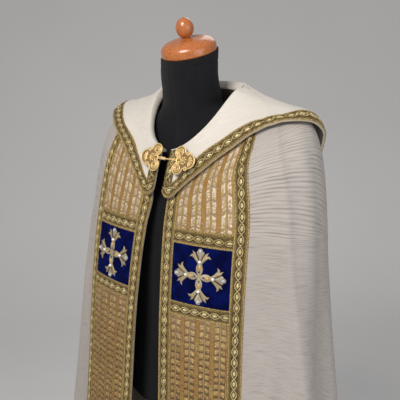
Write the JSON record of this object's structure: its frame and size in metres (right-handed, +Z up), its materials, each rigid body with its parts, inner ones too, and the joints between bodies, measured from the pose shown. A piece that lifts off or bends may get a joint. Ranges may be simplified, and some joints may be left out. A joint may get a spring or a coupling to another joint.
{
  "type": "cope vestment on dress form",
  "caption": "Cream brocade cope with gold striped orphreys, blue velvet cross panels, wide collar and filigree clasp, worn open over a black dress form on a round foot.",
  "frame": {"origin": "centre of the round foot's underside, on the floor", "axes": "+Z up; the cope faces -Y; +X is the wearer's left"},
  "size_m": [0.9483, 0.5511, 1.6365],
  "materials": {
    "jersey": "matt black knitted jersey stretched over the form",
    "turned_wood": "orange-brown varnished wood",
    "stand_metal": "satin black powder coat",
    "cream_brocade": "off-white slubbed rib weave, soft sheen",
    "gold_galloon": "metallic gold braid with interlaced cords",
    "gold_stripe": "ochre and silver-pink striped metallic weave",
    "blue_velvet": "royal blue velvet with metallic embroidery and stones",
    "clasp_gold": "pale matt-gold filigree"
  },
  "bodies": {
    "root": {"form_torso": "jersey", "neck_cap": "turned_wood", "neck_knob": "turned_wood", "stand_pole": "stand_metal", "stand_foot": "stand_metal", "cope_back": "cream_brocade", "cope_front_left": "cream_brocade", "cope_front_right": "cream_brocade", "collar": "cream_brocade", "collar_edge_galloon": "gold_galloon", "clasp_link": "clasp_gold", "collar_front_galloon_left": "gold_galloon", "clasp_plate_left": "clasp_gold", "orphrey_left_inner_galloon": "gold_galloon", "orphrey_left_outer_galloon": "gold_galloon", "orphrey_left_upper_field": "gold_stripe", "orphrey_left_upper_bar": "gold_galloon", "orphrey_left_velvet_panel": "blue_velvet", "orphrey_left_lower_bar": "gold_galloon", "orphrey_left_lower_field": "gold_stripe", "collar_front_galloon_right": "gold_galloon", "clasp_plate_right": "clasp_gold", "orphrey_right_inner_galloon": "gold_galloon", "orphrey_right_outer_galloon": "gold_galloon", "orphrey_right_upper_field": "gold_stripe", "orphrey_right_upper_bar": "gold_galloon", "orphrey_right_velvet_panel": "blue_velvet", "orphrey_right_lower_bar": "gold_galloon", "orphrey_right_lower_field": "gold_stripe"}
  },
  "joints": []
}
